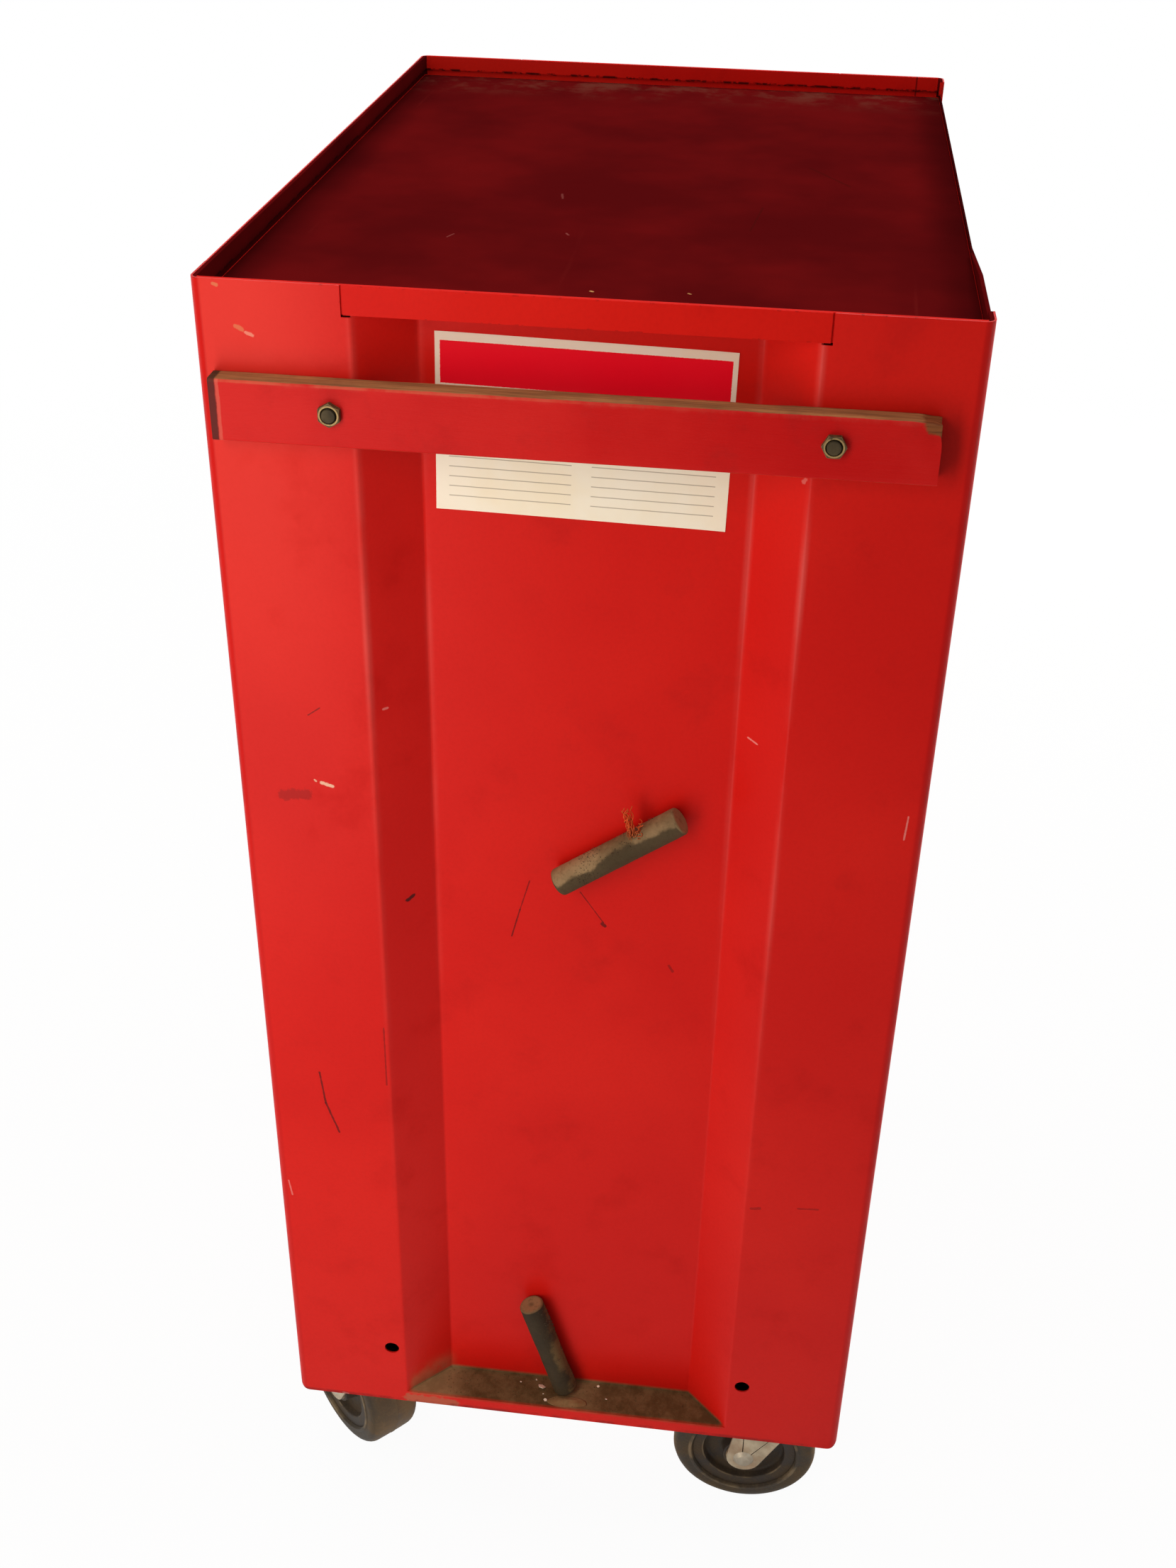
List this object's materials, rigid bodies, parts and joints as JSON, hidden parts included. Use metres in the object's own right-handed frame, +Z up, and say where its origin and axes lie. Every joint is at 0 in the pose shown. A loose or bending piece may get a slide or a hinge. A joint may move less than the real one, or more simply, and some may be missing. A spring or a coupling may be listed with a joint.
{
  "type": "rolling tool cabinet",
  "caption": "Upright folded-steel tool cabinet on plate casters, with recessed ends, a shallow top tray, inset drawers on slides, a central lock and a timber push rail.",
  "frame": {"origin": "on the floor, under the middle of the cabinet body", "axes": "+Z up, drawers face -Y, the push rail end faces +X"},
  "size_m": [0.693, 0.4901, 1.106],
  "materials": {
    "red_paint": "worn gloss enamel",
    "zinc_steel": "dull zinc plate",
    "pull_aluminium": "satin extrusion",
    "painted_timber": "red paint worn to bare wood",
    "bolt_steel": "dark oxide",
    "yellow_zinc": "yellow zinc",
    "magnet_steel": "dull, dusty",
    "lock_chrome": "bright plate",
    "tyre_rubber": "dusty",
    "wheel_core": "moulded, dusty"
  },
  "bodies": {
    "cabinet": {"right_side_panel": "red_paint", "left_side_panel": "red_paint", "back_panel": "red_paint", "base_pan": "red_paint", "top_tray": "red_paint", "front_header": "red_paint", "front_sill": "red_paint", "corner_posts": "red_paint", "slide_rails": "zinc_steel", "wood_push_rail": "painted_timber", "push_rail_bolts": "bolt_steel", "push_rail_nuts": "yellow_zinc", "bar_magnet_upper": "magnet_steel", "bar_magnet_lower": "magnet_steel", "lock_barrel": "lock_chrome", "lock_guides": "zinc_steel", "caster_doublers": "zinc_steel", "caster_plates": "zinc_steel", "caster_bolts": "zinc_steel", "swivel_kingpins": "zinc_steel", "rigid_forks": "zinc_steel", "rigid_axles": "zinc_steel"},
    "lock_plug": {"lock_rod": "lock_chrome"},
    "lock_slider": {"lock_bar": "zinc_steel"},
    "drawer_1": {"drawer_1_box": "red_paint", "drawer_1_front": "red_paint", "drawer_1_pull": "pull_aluminium", "drawer_1_runners": "zinc_steel"},
    "drawer_2": {"drawer_2_box": "red_paint", "drawer_2_front": "red_paint", "drawer_2_pull": "pull_aluminium", "drawer_2_runners": "zinc_steel"},
    "drawer_3": {"drawer_3_box": "red_paint", "drawer_3_front": "red_paint", "drawer_3_pull": "pull_aluminium", "drawer_3_runners": "zinc_steel"},
    "drawer_4": {"drawer_4_box": "red_paint", "drawer_4_front": "red_paint", "drawer_4_pull": "pull_aluminium", "drawer_4_runners": "zinc_steel"},
    "drawer_5": {"drawer_5_box": "red_paint", "drawer_5_front": "red_paint", "drawer_5_pull": "pull_aluminium", "drawer_5_runners": "zinc_steel"},
    "drawer_6": {"drawer_6_box": "red_paint", "drawer_6_front": "red_paint", "drawer_6_pull": "pull_aluminium", "drawer_6_runners": "zinc_steel"},
    "front_swivel": {"front_swivel_fork": "zinc_steel", "front_swivel_axle": "zinc_steel"},
    "back_swivel": {"back_swivel_fork": "zinc_steel", "back_swivel_axle": "zinc_steel"},
    "front_swivel_wheel": {"front_swivel_tyre": "tyre_rubber", "front_swivel_hub": "wheel_core"},
    "back_swivel_wheel": {"back_swivel_tyre": "tyre_rubber", "back_swivel_hub": "wheel_core"},
    "front_rigid_wheel": {"front_rigid_tyre": "tyre_rubber", "front_rigid_hub": "wheel_core"},
    "back_rigid_wheel": {"back_rigid_tyre": "tyre_rubber", "back_rigid_hub": "wheel_core"}
  },
  "joints": [
    {"name": "drawer_1_slide", "type": "slide", "parent": "cabinet", "child": "drawer_1", "axis": [0, -1, 0], "range_m": [0, 0.32]},
    {"name": "drawer_2_slide", "type": "slide", "parent": "cabinet", "child": "drawer_2", "axis": [0, -1, 0], "range_m": [0, 0.32]},
    {"name": "drawer_3_slide", "type": "slide", "parent": "cabinet", "child": "drawer_3", "axis": [0, -1, 0], "range_m": [0, 0.32]},
    {"name": "drawer_4_slide", "type": "slide", "parent": "cabinet", "child": "drawer_4", "axis": [0, -1, 0], "range_m": [0, 0.32]},
    {"name": "drawer_5_slide", "type": "slide", "parent": "cabinet", "child": "drawer_5", "axis": [0, -1, 0], "range_m": [0, 0.32]},
    {"name": "drawer_6_slide", "type": "slide", "parent": "cabinet", "child": "drawer_6", "axis": [0, -1, 0], "range_m": [0, 0.32]},
    {"name": "lock_turn", "type": "hinge", "parent": "cabinet", "child": "lock_plug", "pos_m": [0.18, -0.2285, 1.0668], "axis": [0, 1, 0], "range_deg": [0, 90]},
    {"name": "lock_bar_slide", "type": "slide", "parent": "cabinet", "child": "lock_slider", "axis": [0, 0, -1], "range_m": [0, 0.01414]},
    {"name": "front_swivel_turn", "type": "hinge", "parent": "cabinet", "child": "front_swivel", "pos_m": [0.2613, -0.1825, 0.14], "axis": [0, 0, 1], "continuous": true},
    {"name": "front_swivel_roll", "type": "hinge", "parent": "front_swivel", "child": "front_swivel_wheel", "pos_m": [0.2415, -0.2023, 0.0635], "axis": [0.7071, -0.7071, 0], "continuous": true},
    {"name": "back_swivel_turn", "type": "hinge", "parent": "cabinet", "child": "back_swivel", "pos_m": [0.2613, 0.1825, 0.14], "axis": [0, 0, 1], "continuous": true},
    {"name": "back_swivel_roll", "type": "hinge", "parent": "back_swivel", "child": "back_swivel_wheel", "pos_m": [0.2613, 0.1545, 0.0635], "axis": [1, 0, 0], "continuous": true},
    {"name": "front_rigid_roll", "type": "hinge", "parent": "cabinet", "child": "front_rigid_wheel", "pos_m": [-0.2613, -0.1825, 0.0635], "axis": [0, 1, 0], "continuous": true},
    {"name": "back_rigid_roll", "type": "hinge", "parent": "cabinet", "child": "back_rigid_wheel", "pos_m": [-0.2613, 0.1825, 0.0635], "axis": [0, 1, 0], "continuous": true}
  ],
  "couplings": [
    {"joint": "lock_turn", "follows": "lock_bar_slide", "rad_per_m": 111.07}
  ]
}
